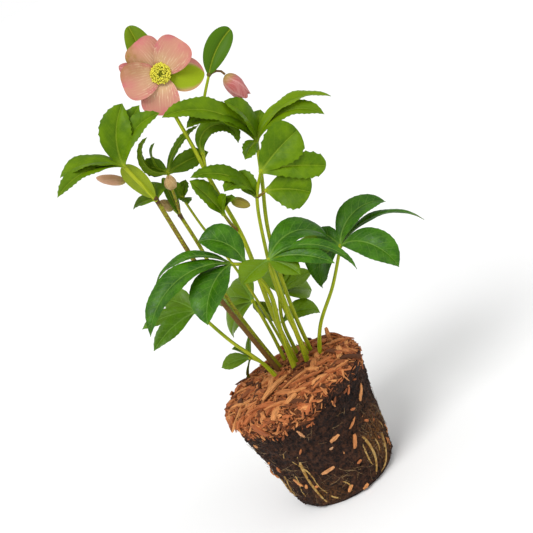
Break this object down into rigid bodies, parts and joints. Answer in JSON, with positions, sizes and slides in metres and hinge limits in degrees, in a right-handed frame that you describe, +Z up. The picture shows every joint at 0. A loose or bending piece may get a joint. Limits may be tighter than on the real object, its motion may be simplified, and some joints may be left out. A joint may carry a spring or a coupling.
{
  "type": "hellebore plant",
  "caption": "Flowering hellebore with palmate leaves, an open bloom and buds, standing on its bare pot-shaped root ball.",
  "frame": {"origin": "centre of the root ball's flat underside, which rests on the surface", "axes": "+Z up the plant, -Y towards the side that the open bloom faces, +X to the right of a viewer who faces the bloom"},
  "size_m": [0.2409, 0.1455, 0.4055],
  "materials": {
    "soil": "damp peat, matte",
    "bark": "shredded bark, matte",
    "mature_leaf": "leathery leaf, satin",
    "young_leaf": "soft young leaf, satin",
    "bud_pink": "petal, soft satin",
    "bud_green": "petal, soft satin",
    "sepal": "petal, soft satin",
    "stamen": "pollen-dusted, matte"
  },
  "bodies": {
    "root": {"root_ball": "soil", "bark_mulch": "bark", "leaf_front_left": "mature_leaf", "leaf_front_right": "mature_leaf", "leaf_right": "mature_leaf", "leaf_low_left": "mature_leaf", "leaf_small_left": "mature_leaf", "leaf_back_left": "mature_leaf", "leaf_back_right": "mature_leaf", "leaf_upper_right": "young_leaf", "leaf_mid_right": "young_leaf", "leaf_mid_left": "young_leaf", "flower_stem_left": "young_leaf", "flower_stem_middle": "young_leaf", "flower_stem_main": "young_leaf", "bud_left": "bud_pink", "bud_middle": "bud_pink", "bud_tall": "bud_pink", "bud_back": "bud_pink", "bud_green": "bud_green", "bud_spent": "bud_pink", "bloom_sepals": "sepal", "bloom_centre": "stamen"}
  },
  "joints": []
}
